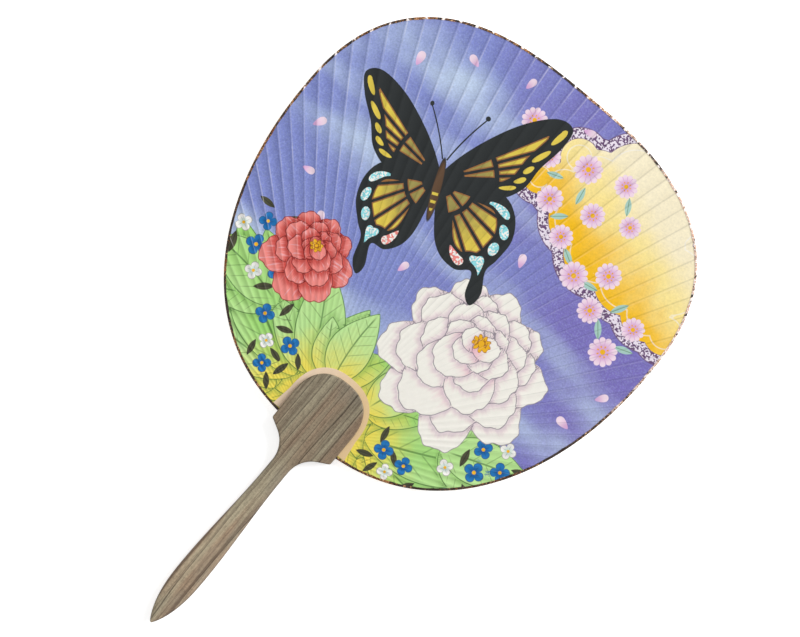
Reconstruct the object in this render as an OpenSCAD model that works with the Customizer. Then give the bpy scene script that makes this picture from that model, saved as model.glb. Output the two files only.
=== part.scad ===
// Round paper fan with an inserted handle. Split bamboo ribs fan out on a lining paper between
// two cover papers, which are pressed down between the ribs. A folded strip binds the rim, a
// patch backs the base on each side, and the leaf is glued into a slot sawn in the handle's head.
// Millimetres. The origin lies on the table under the rib centre, the point at which all the
// ribs aim. The leaf points along +Y, the handle along -Y, and the printed side faces +Z.

/* [Leaf outline] */
// Width of the leaf over its binding
leaf_w = 247; // [215:1:280]
// Height of the leaf's top above the rib centre
leaf_top = 241.2; // [210:0.2:275]
// Depth of the rim's lowest point below the rib centre
leaf_drop = 1.65; // [1.2:0.05:2.2]
// Height of the leaf's widest line above the rib centre
leaf_waist = 146.2; // [130:0.2:165]
// Squareness of the crown, measured across the leaf
crown_across = 2.76; // [2.3:0.02:3.2]
// Squareness of the crown, measured along the leaf
crown_along = 2.42; // [2:0.02:3]
// Squareness of the base, measured across the leaf
base_across = 2.41; // [2.1:0.01:2.9]
// Squareness of the base, measured along the leaf
base_along = 2.1; // [1.9:0.02:2.5]

/* [Ribs] */
// Ribs on each side of the centre rib
rib_pairs = 35; // [25:1:40]
// Angle from the centre rib to the outermost ribs
rib_fan = 89; // [80:0.5:89.5]
// Spacing of the middle ribs as a share of the even spacing
rib_crowding = 0.84; // [0.75:0.01:1]
// Distance from the rib centre to the trimmed ends of the ribs
rib_root_r = 14; // [13:0.5:17]
// Width of a rib at its trimmed end
rib_root_w = 0.36; // [0.24:0.02:0.38]
// Width of the centre rib at the leaf's top
rib_tip_w = 1.2; // [0.8:0.05:1.8]
// Thickness of the ribs
rib_t = 0.7; // [0.5:0.05:0.9]

/* [Papers] */
// Thickness of the front and back cover papers
paper_t = 0.12; // [0.08:0.01:0.2]
// Thickness of the lining paper that the ribs are laid on
lining_t = 0.08; // [0.05:0.01:0.12]
// Thickness of the base patches
patch_t = 0.12; // [0.08:0.01:0.2]
// Film of paste between two layers
paste_t = 0.02; // [0.01:0.01:0.04]
// Depth to which the front paper is pressed down between two ribs
front_sag = 0.46; // [0.3:0.02:0.52]
// Depth of a hollow for each millimetre between two ribs, until it is pressed fully down
sag_slope = 0.1; // [0.05:0.01:0.15]
// Distance from the rib centre to the papers' trimmed ends
paper_root_r = 12; // [10:0.5:12.5]

/* [Edge binding] */
// Width of the binding on each face
binding_w = 1.4; // [1:0.1:3]
// Thickness of the binding strip
binding_t = 0.15; // [0.1:0.01:0.2]
// Bevel inside the fold of the binding
fold_r = 0.05; // [0.02:0.01:0.07]
// Space between the papers' cut edges and the fold of the binding
binding_gap = 0.1; // [0.08:0.01:0.2]
// Length of binding that is tucked into the handle's slot on each side
binding_tuck = 3; // [1:0.5:5]

/* [Base patches] */
// Width of a patch's rim at the top of the handle's head
patch_margin = 3.4; // [2:0.1:6]
// Width of a patch's rim beside the head, where its arch ends
patch_side = 2.8; // [2:0.1:6]
// Further width of a patch on each side by the time it reaches the binding
patch_flare = 1.8; // [0:0.1:4]

/* [Handle outline] */
// Width of the head
head_w = 41.2; // [36:0.2:46]
// Height of the head's top above the rib centre
head_top = 35.4; // [30:0.2:42]
// Height of the arch at the top of the head
arch_h = 22; // [16:0.5:26]
// Squareness of the arch
arch_squareness = 2.4; // [2:0.05:3]
// Depth of the head's lower corners below the rib centre
head_foot = 4.9; // [4:0.1:7]
// Radius of the head's lower corners
corner_r = 1.6; // [1:0.1:2.5]
// Slope of the shoulders below the head, in degrees from level
shoulder_slope = 29; // [15:1:35]
// Radius of the hollow between shoulder and neck
hollow_r = 16.5; // [10:0.5:18]
// Width of the neck
neck_w = 11.4; // [9:0.2:14]
// Distance from the head's lower corners to the narrowest part of the neck
neck_run = 23; // [21:0.5:30]
// Width of the grip at its widest
grip_w = 16.5; // [14.5:0.1:20]
// Distance from the narrowest part of the neck to the widest part of the grip
grip_run = 70; // [50:1:90]
// Distance from the widest part of the grip to the point
point_run = 36.3; // [25:0.1:50]
// Width of the blunt end of the point
point_w = 0.8; // [0.4:0.1:2]

/* [Handle section] */
// Thickness of the head
head_t = 8; // [7:0.1:10]
// Thickness of the neck
neck_t = 7.4; // [6:0.1:9]
// Thickness of the grip at its widest
grip_t = 6.6; // [5:0.1:9]
// Thickness of the point
point_t = 2.4; // [1.6:0.1:4]
// Rounding of the head's edges
head_edge_r = 0.9; // [0.4:0.1:1.5]
// Rounding of the neck's and grip's edges
grip_edge_r = 2.4; // [1:0.1:2.8]
// Depth to which the head's two faces are planed flat
planing = 0.05; // [0.02:0.01:0.2]
// Clearance between the slot and what it holds, on each face
slot_gap = 0.05; // [0.03:0.01:0.1]
// Clearance between the slot's floor and the rim's lowest point
slot_floor_gap = 0.3; // [0.1:0.05:1]

/* [Hidden] */
// Stations along each stretch of the handle's outline, and steps round its rounded edges
arch_steps = 18;
corner_steps = 5;
hollow_steps = 10;
grip_steps = 15;
point_steps = 14;
edge_steps = 5;
// Stations along the binding, and halvings of the search for the rim along a ray
binding_steps = 120;
search_steps = 28;
// Share of the ribs' spacing that a ridge may take up at the papers' trimmed ends, where they crowd
ridge_share = 0.3;
// Where the arch's outline starts beside the axis, in degrees of its quarter turn
arch_start = 1;
// How far a cutting block reaches past what it cuts
overcut = 1;
// Largest share of a wall that its rounded edge may take up
round_share = 0.95;
// How full the sides of the point are, and how bluntly they close
point_fullness = 2.55;
point_bluntness = 1.2;

leaf_z = head_t / 2;
rim_inset = binding_t + binding_gap;
rib_top = rib_t / 2;
front_z = rib_top + paste_t;
lining_z = -rib_top - paste_t - lining_t;
back_z = lining_z - paste_t - paper_t;
front_face_z = front_z + paper_t;
back_sag = rib_t + paste_t - front_sag;
binding_top = front_face_z + paste_t + binding_t;
binding_bottom = back_z - paste_t - binding_t;
front_patch_z = front_face_z + paste_t;
back_patch_z = back_z - paste_t - patch_t;
slot_top = max(binding_top, front_patch_z + patch_t) + slot_gap;
slot_bottom = min(binding_bottom, back_patch_z) - slot_gap;
slot_floor = -leaf_drop - slot_floor_gap;
tuck_x = head_w / 2 - binding_tuck;
leaf_middle = [0, (leaf_top - leaf_drop) / 2];
neck_y = -head_foot - neck_run;
grip_y = neck_y - grip_run;
point_y = grip_y - point_run;

function rib_name(n) = str("rib_pair_", n < 10 ? "0" : "", n);

// Easing from 0 to 1 with no corner at either end, and a mix of two values by a share
function ease(share) = (1 - cos(180 * min(1, max(0, share)))) / 2;
function mix(from, to, share) = from + (to - from) * share;

// The leaf's outline is a superellipse above its widest line and another below it. A point is
// inside when its shares of the half-width and of the height, each raised to its own power,
// add up to less than 1.
function inside_leaf(p, inset) =
    let (
        above = p[1] > leaf_waist,
        height = above ? leaf_top - leaf_waist : leaf_waist + leaf_drop,
        across = abs(p[0]) / (leaf_w / 2 - inset),
        along = abs(p[1] - leaf_waist) / (height - inset)
    )
    pow(across, above ? crown_across : base_across) + pow(along, above ? crown_along : base_along) < 1;

// Distance from a point inside the leaf to the outline, drawn in by inset, at an angle from +Y
function reach(from, angle, inset, near = 0, far = leaf_w + leaf_top, steps = search_steps) =
    let (middle = (near + far) / 2, p = from + middle * [sin(angle), cos(angle)])
    steps == 0 ? middle
    : inside_leaf(p, inset) ? reach(from, angle, inset, middle, far, steps - 1)
    : reach(from, angle, inset, near, middle, steps - 1);
function rim_point(from, angle, inset) =
    from + reach(from, angle, inset) * [sin(angle), cos(angle)];

// Height of the lower rim at a distance x from the axis
function low_rim_y(x, inset) =
    leaf_waist - (leaf_waist + leaf_drop - inset)
        * pow(1 - pow(abs(x) / (leaf_w / 2 - inset), base_across), 1 / base_along);

// The ribs open out towards the sides: an even spacing, less in the middle, by a cubic rule
function rib_angle(n) =
    rib_fan / rib_pairs * n * mix(rib_crowding, 1, pow(n / rib_pairs, 2));
function rib_spacing(n) = (rib_angle(n + 1) - rib_angle(n - 1)) / 2;
function rib_w(r) = mix(rib_root_w, rib_tip_w, (r - rib_root_r) / (leaf_top - rib_root_r));
function rib_half_angle(r) = asin(rib_w(r) / 2 / r);
function polar(angle, r) = r * [sin(angle), cos(angle)];
function edge_angle(n, side) =
    rib_angle(n) + side * rib_half_angle(reach([0, 0], rib_angle(n), rim_inset));

// The papers are ruled from their trimmed ends to the rim: one line over each edge of a rib,
// one along each hollow, and one along each end. A line holds its two ends and its sag.
function ridge_line(n, side) =
    let (half = min(rib_half_angle(paper_root_r), ridge_share * rib_spacing(n)))
    [
        polar(rib_angle(n) + side * half, paper_root_r),
        rim_point([0, 0], edge_angle(n, side), rim_inset),
        0
    ];
function hollow_line(n) =
    let (
        angle = (rib_angle(n) + rib_angle(n + 1)) / 2,
        r = reach([0, 0], angle, rim_inset),
        gap = 2 * r * sin((edge_angle(n + 1, -1) - edge_angle(n, 1)) / 2)
    )
    [polar(angle, paper_root_r), polar(angle, r), min(1, sag_slope * gap / front_sag)];
function end_line(side) =
    let (corner = [tuck_x, low_rim_y(tuck_x, rim_inset)], angle = atan2(corner[0], corner[1]))
    [polar(side * angle, paper_root_r), [side * corner[0], corner[1]], 0];
paper_lines = concat(
    [end_line(-1)],
    [
        for (n = [-rib_pairs:rib_pairs])
            each n < rib_pairs
                ? [ridge_line(n, -1), ridge_line(n, 1), hollow_line(n)]
                : [ridge_line(n, -1), ridge_line(n, 1)]
    ],
    [end_line(1)]
);

// A closed skin over a row of rings. A ring goes out along one side of a wall and comes back
// along the other, so that its first point lies across the wall from its last.
module skin(rings) {
    count = len(rings[0]);
    last = len(rings) - 1;
    function at(i, j) = i * count + j % count;
    sides = [
        for (i = [0:last - 1], j = [0:count - 1])
            each [
                [at(i, j), at(i + 1, j), at(i + 1, j + 1)],
                [at(i, j), at(i + 1, j + 1), at(i, j + 1)]
            ]
    ];
    ends = [
        for (j = [0:count / 2 - 2])
            each [
                [at(0, j), at(0, j + 1), at(0, count - 2 - j), at(0, count - 1 - j)],
                [at(last, count - 1 - j), at(last, count - 2 - j), at(last, j + 1), at(last, j)]
            ]
    ];
    polyhedron([for (ring = rings) each ring], concat(sides, ends));
}

// A paper between two heights on the ridges, which drops by sag in its hollows
module ribbed_paper(bottom, thickness, sag) {
    rings = [
        for (line = paper_lines)
            let (root = line[0], rim = line[1], drop = line[2] * sag)
            [
                [root[0], root[1], bottom],
                [rim[0], rim[1], bottom - drop],
                [rim[0], rim[1], bottom + thickness - drop],
                [root[0], root[1], bottom + thickness]
            ]
    ];
    translate([0, 0, leaf_z]) skin(rings);
}

module front_paper() {
    color("mediumpurple") ribbed_paper(front_z, paper_t, front_sag);
}

module lining_paper() {
    color("wheat") ribbed_paper(lining_z, lining_t, -back_sag);
}

module back_paper() {
    color("ivory") ribbed_paper(back_z, paper_t, -back_sag);
}

// One rib: straight sides that widen outwards, with its outer end cut along the rim
module rib(n) {
    root = rib_half_angle(rib_root_r);
    outline = [
        polar(rib_angle(n) - root, rib_root_r),
        rim_point([0, 0], edge_angle(n, -1), rim_inset),
        rim_point([0, 0], edge_angle(n, 1), rim_inset),
        polar(rib_angle(n) + root, rib_root_r)
    ];
    translate([0, 0, leaf_z - rib_top]) linear_extrude(rib_t) polygon(outline);
}

module rib_centre() {
    color("burlywood") rib(0);
}

module rib_pair(n) {
    color("burlywood") {
        rib(n);
        rib(-n);
    }
}

// A strip folded over the rim from the front face to the back, from tuck to tuck
module edge_binding() {
    outer = [
        [binding_w, binding_top],
        [fold_r + binding_t, binding_top],
        [0, binding_top - fold_r - binding_t],
        [0, binding_bottom + fold_r + binding_t],
        [fold_r + binding_t, binding_bottom],
        [binding_w, binding_bottom]
    ];
    inner = [
        [binding_w, binding_bottom + binding_t],
        [binding_t + fold_r, binding_bottom + binding_t],
        [binding_t, binding_bottom + binding_t + fold_r],
        [binding_t, binding_top - binding_t - fold_r],
        [binding_t + fold_r, binding_top - binding_t],
        [binding_w, binding_top - binding_t]
    ];
    section = concat(outer, inner);
    drop = leaf_middle[1] - low_rim_y(tuck_x, 0);
    half_turn = 180 - atan2(tuck_x, drop);
    rings = [
        for (i = [0:binding_steps])
            let (angle = mix(-half_turn, half_turn, i / binding_steps))
            [for (s = section) let (p = rim_point(leaf_middle, angle, s[0])) [p[0], p[1], s[1]]]
    ];
    color("saddlebrown") translate([0, 0, leaf_z]) skin(rings);
}

// Half of an arch: a quarter of a superellipse that stands on the level y
function arch(half_w, y, height, start) = [
    for (i = [0:arch_steps])
        let (turn = mix(start, 90, i / arch_steps))
        [
            half_w * pow(sin(turn), 2 / arch_squareness),
            y + height * pow(cos(turn), 2 / arch_squareness)
        ]
];

// A patch frames the head by its margin and ends along the binding
module base_patch(bottom) {
    half_w = head_w / 2 + patch_side;
    foot_w = half_w + patch_flare;
    foot_y = low_rim_y(foot_w, 0) + binding_w + slot_gap;
    side = concat(
        arch(half_w, head_top - arch_h, arch_h + patch_margin, 0),
        [[foot_w, foot_y]]
    );
    mirrored = [for (i = [len(side) - 1:-1:1]) [-side[i][0], side[i][1]]];
    translate([0, 0, leaf_z + bottom]) linear_extrude(patch_t) polygon(concat(side, mirrored));
}

module base_patch_front() {
    color("tan") base_patch(front_patch_z);
}

module base_patch_back() {
    color("tan") base_patch(back_patch_z);
}

// The right half of the handle's outline, from the top of the arch to the point: an arch, a
// rounded corner, a sloping shoulder that turns into the neck by a hollow, and a grip that
// swells from the neck and closes to a point
function handle_outline() =
    let (
        half = head_w / 2,
        turn = 90 - shoulder_slope,
        corner = [half - corner_r, corner_r * tan(turn / 2) - head_foot],
        meet_x = neck_w / 2 + hollow_r * (1 - sin(shoulder_slope)),
        meet_y = -head_foot - (half - meet_x) * tan(shoulder_slope),
        hollow = [neck_w / 2 + hollow_r, meet_y - hollow_r * cos(shoulder_slope)]
    )
    concat(
        arch(half, head_top - arch_h, arch_h, arch_start),
        [
            for (i = [0:corner_steps])
                let (a = -turn * i / corner_steps) corner + corner_r * [cos(a), sin(a)]
        ],
        [
            for (i = [0:hollow_steps])
                let (a = mix(90 + shoulder_slope, 180, i / hollow_steps))
                hollow + hollow_r * [cos(a), sin(a)]
        ],
        [
            for (i = [0:grip_steps])
                let (share = i / grip_steps)
                [mix(neck_w, grip_w, ease(share)) / 2, mix(neck_y, grip_y, share)]
        ],
        [
            for (i = [1:point_steps])
                let (
                    share = sin(90 * i / point_steps),
                    swell = pow(1 - pow(share, point_fullness), 1 / point_bluntness)
                )
                [mix(point_w, grip_w, swell) / 2, mix(grip_y, point_y, share)]
        ]
    );

// Thickness of the handle and rounding of its edges at a level y
function handle_t(y) =
    y > neck_y ? mix(head_t, neck_t, ease((-head_foot - y) / neck_run))
    : y > grip_y ? mix(neck_t, grip_t, ease((neck_y - y) / grip_run))
    : mix(point_t, grip_t, sqrt(max(0, 1 - pow((grip_y - y) / point_run, 2))));
function handle_edge_r(y) = mix(head_edge_r, grip_edge_r, ease((-head_foot - y) / neck_run));

// Every station of the outline becomes a ring: up its right edge, which is rounded by drawing
// the outline in along its own normal, and down the mirrored left edge
module handle() {
    outline = handle_outline();
    last = len(outline) - 1;
    rings = [
        for (i = [0:last])
            let (
                p = outline[i],
                ahead = outline[min(last, i + 1)] - outline[max(0, i - 1)],
                normal = [-ahead[1], ahead[0]] / norm(ahead),
                half_t = handle_t(p[1]) / 2 + planing,
                wall = min(half_t, p[0] / max(0.01, normal[0])),
                r = min(handle_edge_r(p[1]), round_share * wall),
                lower = [
                    for (k = [0:edge_steps])
                        let (a = 90 * k / edge_steps, q = p - normal * r * (1 - sin(a)))
                        [q[0], q[1], r * (1 - cos(a)) - half_t]
                ],
                right = concat(lower, [for (k = [edge_steps:-1:0]) [lower[k][0], lower[k][1], -lower[k][2]]])
            )
            concat(right, [for (k = [len(right) - 1:-1:0]) [-right[k][0], right[k][1], right[k][2]]])
    ];
    planed_w = max(head_w, grip_w) + overcut;
    color("rosybrown") difference() {
        intersection() {
            translate([0, 0, leaf_z]) skin(rings);
            translate([-planed_w / 2, point_y - overcut, 0])
                cube([planed_w, head_top - point_y + 2 * overcut, head_t]);
        }
        translate([-planed_w / 2, slot_floor, leaf_z + slot_bottom])
            cube([planed_w, head_top - slot_floor + overcut, slot_top - slot_bottom]);
    }
}

handle();
front_paper();
back_paper();
lining_paper();
edge_binding();
base_patch_front();
base_patch_back();
rib_centre();
for (n = [1:rib_pairs]) rib_pair(n);
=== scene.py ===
"""Round paper fan with an inserted handle: papers, print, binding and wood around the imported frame.

Sizes are in millimetres and go into the meshes in metres. The origin lies on the table under the
point at which all the ribs aim, the leaf points along +Y and the printed side faces +Z.
"""
import functools
import math

import bpy
import numpy as np
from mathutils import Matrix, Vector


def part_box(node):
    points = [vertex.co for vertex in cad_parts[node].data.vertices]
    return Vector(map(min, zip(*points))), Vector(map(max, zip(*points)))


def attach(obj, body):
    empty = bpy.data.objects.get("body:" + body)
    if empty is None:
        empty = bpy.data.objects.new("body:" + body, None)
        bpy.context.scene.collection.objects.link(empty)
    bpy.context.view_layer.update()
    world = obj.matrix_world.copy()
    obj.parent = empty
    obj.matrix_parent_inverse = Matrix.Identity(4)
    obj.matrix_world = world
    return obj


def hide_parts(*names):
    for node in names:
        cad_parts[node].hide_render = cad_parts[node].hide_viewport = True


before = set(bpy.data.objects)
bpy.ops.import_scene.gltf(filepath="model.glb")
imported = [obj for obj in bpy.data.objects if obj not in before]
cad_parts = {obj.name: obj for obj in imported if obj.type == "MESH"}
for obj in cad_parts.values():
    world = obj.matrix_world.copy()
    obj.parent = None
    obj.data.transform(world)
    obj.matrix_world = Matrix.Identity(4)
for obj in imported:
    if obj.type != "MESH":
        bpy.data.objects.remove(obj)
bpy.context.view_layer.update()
MM = 0.001


def node_box(node):
    """Lowest and highest corner of a node of the frame, in millimetres."""
    low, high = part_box(node)
    return np.array(low) / MM, np.array(high) / MM


# Leaf outline and ribs, by the same rules as the frame's own papers
BINDING_LOW, BINDING_HIGH = node_box("edge_binding")
HEAD_T = float(node_box("handle")[1][2])
LEAF_W = BINDING_HIGH[0] - BINDING_LOW[0]
LEAF_TOP = BINDING_HIGH[1]
LEAF_Z = HEAD_T / 2
LEAF_DROP = 1.65
LEAF_WAIST = 146.2
CROWN_ACROSS, CROWN_ALONG = 2.76, 2.42
BASE_ACROSS, BASE_ALONG = 2.41, 2.1
RIM_INSET = 0.25
TUCK_X = 17.6
SEARCH_STEPS = 36
RIB_PAIRS = 35
RIB_FAN = 89
RIB_CROWDING = 0.84
RIB_ROOT_R = 14
RIB_ROOT_W = 0.36
RIB_TIP_W = 1.2
RIDGE_SHARE = 0.3
PAPER_ROOT_R = 12
SAG_SLOPE = 0.1

# Heights over the middle of the leaf, from the frame's own papers and centre rib
PASTE_T = 0.02
LINING_T = 0.08
RIB_T = np.ptp([corner[2] for corner in node_box("rib_centre")])
FRONT_Z = RIB_T / 2 + PASTE_T
PAPER_T = node_box("front_paper")[1][2] - LEAF_Z - FRONT_Z
LINING_Z = -RIB_T / 2 - PASTE_T - LINING_T
BACK_Z = LINING_Z - PASTE_T - PAPER_T
FRONT_SAG = LEAF_Z + FRONT_Z - node_box("front_paper")[0][2]
BACK_SAG = RIB_T + PASTE_T - FRONT_SAG

# Each hollow is pressed down by hand, some less than others
LEAST_DEPTH = 0.62
HOLLOW_DEPTHS = np.random.default_rng(8).uniform(LEAST_DEPTH, 1, 2 * RIB_PAIRS)

# Steps of the papers' grids, and the angle in degrees past which an edge is sharp
HOLLOW_SHARES = (0, 0.12, 0.3, 0.5, 0.7, 0.88, 1)
END_COLUMNS = 4
PRINT_ROWS = 186
PLAIN_ROWS = 12
UNDER_STEP = 31
PAPER_SHARP = 50

# Edge binding: the strip and its fold, and its cut edge's sines of the turn: height, count and phase
BINDING_W = 1.4
BINDING_T = 0.15
BINDING_SHARP = 60
FOLD_R = 0.36
FOLD_STEPS = 7
STATIONS = 1500
CUT_WAVER = ((0.07, 61, 0), (0.07, 23, 2), (0.04, 140, 1))

# Along the crown each rib's end gets a painted highlight spot and a painted shade spot: distance from the rib
# and half width
RIB_HIGHLIGHT_SPOT = (0.7, 0.9)
RIB_SHADE_SPOT = (-1.0, 0.7)

# Handle: its thickness below the head, and where along the axis each part begins
NECK_T, GRIP_T, POINT_T = 7.4, 6.6, 2.4
HEAD_Y, NECK_Y, POINT_Y = -5.0, -28.0, -98.0
POINT_L = 36.3

# Camera: straight above, with the fan's axis turned clockwise in the picture
CAMERA_TURN = 39.75
CAMERA_X, CAMERA_Y = -1.22, 81.11
CAMERA_HEIGHT = 1600
VIEW_W = 440
SENSOR_W = 36

# Studio
SKY_STRENGTH = 0.32
FLOOR_HALF = 4000
FLOOR_GAP = 0.2
FLOOR_GREY = (0.9, 0.9, 0.9, 1)
FLOOR_GLOW = 0.6
WHITE = (1, 1, 1, 1)


def mix(low, high, share):
    """The value that lies a share of the way from low to high."""
    return low + (high - low) * share


def inside_leaf(x, y, inset):
    """A point is inside the superellipse when its shares of half-width and height, raised, add to under 1."""
    above = y > LEAF_WAIST
    height = np.where(above, LEAF_TOP - LEAF_WAIST, LEAF_WAIST + LEAF_DROP) - inset
    across = (np.abs(x) / (LEAF_W / 2 - inset)) ** np.where(above, CROWN_ACROSS, BASE_ACROSS)
    along = (np.abs(y - LEAF_WAIST) / height) ** np.where(above, CROWN_ALONG, BASE_ALONG)
    return across + along < 1


def reach(angle, inset, x=0.0, y=0.0):
    """Distance from an inner point to the outline at an angle from +Y, found by halving."""
    near = np.zeros_like(angle)
    far = np.full_like(angle, LEAF_W + LEAF_TOP)
    for _ in range(SEARCH_STEPS):
        middle = (near + far) / 2
        inside = inside_leaf(x + middle * np.sin(angle), y + middle * np.cos(angle), inset)
        near = np.where(inside, middle, near)
        far = np.where(inside, far, middle)
    return near


def low_rim_y(x, inset):
    """Height of the lower rim at a distance x from the axis, from the same superellipse."""
    share = 1 - (np.abs(x) / (LEAF_W / 2 - inset)) ** BASE_ACROSS
    return LEAF_WAIST - (LEAF_WAIST + LEAF_DROP - inset) * share ** (1 / BASE_ALONG)


def rib_angle(n):
    """Angle of rib n from +Y: even spacing, less in the middle, by a cubic rule."""
    return np.radians(RIB_FAN / RIB_PAIRS * n * mix(RIB_CROWDING, 1, (n / RIB_PAIRS) ** 2))


RIBS = rib_angle(np.arange(-RIB_PAIRS, RIB_PAIRS + 1.0))
MIDDLE_SPACING = RIBS[RIB_PAIRS + 1] - RIBS[RIB_PAIRS]


def ridge_half_angle(r):
    """Half the angle that a rib takes up at radius r: half its width over the radius, within its share."""
    width = mix(RIB_ROOT_W, RIB_TIP_W, (r - RIB_ROOT_R) / (LEAF_TOP - RIB_ROOT_R))
    return np.minimum(np.arcsin(width / 2 / r), RIDGE_SHARE * MIDDLE_SPACING)


def pressed(angle, r, rim_r):
    """Share of the full depth to which a cover paper is pressed down between two ribs.

    Across a hollow it is the parabola 1 - (2s - 1)^2 of the share s between two ridges, outwards it
    grows evenly from the papers' root to the rim. Narrow hollows stay shallower, and each its own way.
    """
    index = np.clip(np.searchsorted(RIBS, angle) - 1, 0, len(RIBS) - 2)
    half = ridge_half_angle(r)
    left = RIBS[index] + half
    right = RIBS[index + 1] - half
    share = np.clip((angle - left) / (right - left), 0, 1)
    gap = 2 * rim_r * np.sin((RIBS[index + 1] - RIBS[index]) / 2 - ridge_half_angle(rim_r))
    full = np.minimum(1, SAG_SLOPE * gap / FRONT_SAG) * HOLLOW_DEPTHS[index]
    outwards = np.clip((r - PAPER_ROOT_R) / (rim_r - PAPER_ROOT_R), 0, 1)
    inner = (angle > RIBS[0]) & (angle < RIBS[-1])
    return np.where(inner, full * outwards * (1 - (2 * share - 1) ** 2), 0)


def rib_offset(x, y):
    """Signed distance of a point from the nearest rib's middle, along the arc, positive clockwise of it."""
    angle, r = np.arctan2(x, y), np.hypot(x, y)
    index = np.clip(np.searchsorted(RIBS, angle), 1, len(RIBS) - 1)
    past, short = angle - RIBS[index - 1], angle - RIBS[index]
    return np.where(past < -short, past, short) * r


def paper_columns():
    """Base angle and ridge factor of each line that the papers are ruled along, from left to right.

    A line's angle at radius r is its base angle plus its factor times the half angle of a ridge, so
    that share s between ribs n and n + 1 has the factor 1 - 2s.
    """
    shares = np.array(HOLLOW_SHARES)
    base = (RIBS[:-1, None] + shares * np.diff(RIBS)[:, None]).ravel()
    factor = np.tile(1 - 2 * shares, len(RIBS) - 1)
    last_edge = RIBS[-1] + ridge_half_angle(np.array([LEAF_W / 2]))[0]
    last_x = reach(np.array([last_edge]), RIM_INSET)[0] * math.sin(last_edge)
    end_x = np.linspace(last_x, TUCK_X, END_COLUMNS + 1)[1:]
    end = np.arctan2(end_x, low_rim_y(end_x, RIM_INSET))
    base = np.concatenate([-end[::-1], RIBS[:1], base, RIBS[-1:], end])
    factor = np.concatenate([0 * end, [-1], factor, [1], 0 * end])
    return base, factor


def paper_lines(rows):
    """Angles, radii and pressed depths of a paper's grid, each as rows times columns."""
    base, factor = paper_columns()
    rim_r = reach(base, RIM_INSET)
    rim_r = reach(base + factor * ridge_half_angle(rim_r), RIM_INSET)
    r = mix(PAPER_ROOT_R, rim_r, np.linspace(0, 1, rows + 1)[:, None])
    angle = base + factor * ridge_half_angle(r)
    return angle, r, pressed(angle, r, rim_r)


def add_object(name, data):
    """Puts a mesh, a camera or a light into the scene as an object."""
    thing = bpy.data.objects.new(name, data)
    bpy.context.collection.objects.link(thing)
    return thing


def new_piece(name, points, faces, sharp_above):
    """An object of points in millimetres, smooth except at edges sharper than an angle in degrees."""
    mesh = bpy.data.meshes.new(name)
    mesh.from_pydata((np.asarray(points) * MM).tolist(), [], faces)
    mesh.shade_smooth()
    mesh.set_sharp_from_angle(angle=math.radians(sharp_above))
    return add_object(name, mesh)


def quads(index):
    """Faces between neighbouring rows of an array of point numbers."""
    corners = (index[:-1, :-1], index[:-1, 1:], index[1:, 1:], index[1:, :-1])
    return np.stack(corners, axis=-1).reshape(-1, 4).tolist()


def ribbed_paper(name, bottom, thickness, sag, rows, under_step):
    """A closed sheet: a fine grid on top, a grid of every so many rows beneath, and walls round both.

    Every point lies at bottom (plus the thickness on top) less sag times the pressed share.
    """
    angle, r, depth = paper_lines(rows)
    columns = angle.shape[1]
    top_z = LEAF_Z + bottom + thickness - sag * depth
    top = np.stack([r * np.sin(angle), r * np.cos(angle), top_z], axis=-1)
    under = top[::under_step] - (0, 0, thickness)
    top_index = np.arange(top.shape[0] * columns).reshape(-1, columns)
    under_index = top_index.size + np.arange(under.shape[0] * columns).reshape(-1, columns)
    faces = quads(top_index[::-1]) + quads(under_index)
    faces += quads(np.stack([under_index[0], top_index[0]])[::-1])
    faces += quads(np.stack([top_index[-1], under_index[-1]])[::-1])
    for k in range(under.shape[0] - 1):
        left, right = top_index[k * under_step : (k + 1) * under_step + 1, [0, -1]].T.tolist()
        faces.append(left + [int(under_index[k + 1, 0]), int(under_index[k, 0])])
        faces.append(right[::-1] + [int(under_index[k, -1]), int(under_index[k + 1, -1])])
    points = np.concatenate([top.reshape(-1, 3), under.reshape(-1, 3)])
    piece = new_piece(name, points, faces, PAPER_SHARP)
    crease_ridges(piece.data, columns)
    return piece


def crease_ridges(mesh, columns):
    """Makes a paper's edges sharp along both sides of each ridge, where its lines' factors are 1 or -1."""
    ridge = np.abs(paper_columns()[1]) == 1
    ends = np.zeros(len(mesh.edges) * 2, np.int32)
    mesh.edges.foreach_get("vertices", ends)
    sharp = np.zeros(len(mesh.edges), bool)
    mesh.edges.foreach_get("use_edge_sharp", sharp)
    column = ends.reshape(-1, 2) % columns
    mesh.edges.foreach_set("use_edge_sharp", sharp | ((column[:, 0] == column[:, 1]) & ridge[column[:, 0]]))


def binding_section():
    """Inset, side and depth of each point round the section of the folded strip.

    The side goes from the front face (1) to the back (-1), and the depth is 0 on the outer skin and 1
    on the inner one. The fold between the faces is half an ellipse on each skin.
    """
    fold = np.linspace(0, math.pi, FOLD_STEPS)
    outer = [(FOLD_R * (1 - math.sin(a)), math.cos(a), 0) for a in fold]
    inner = [(FOLD_R - (FOLD_R - BINDING_T) * math.sin(a), math.cos(a), 1) for a in fold[::-1]]
    return [(BINDING_W, 1, 0), *outer, (BINDING_W, -1, 0), (BINDING_W, -1, 1), *inner, (BINDING_W, 1, 1)]


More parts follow.
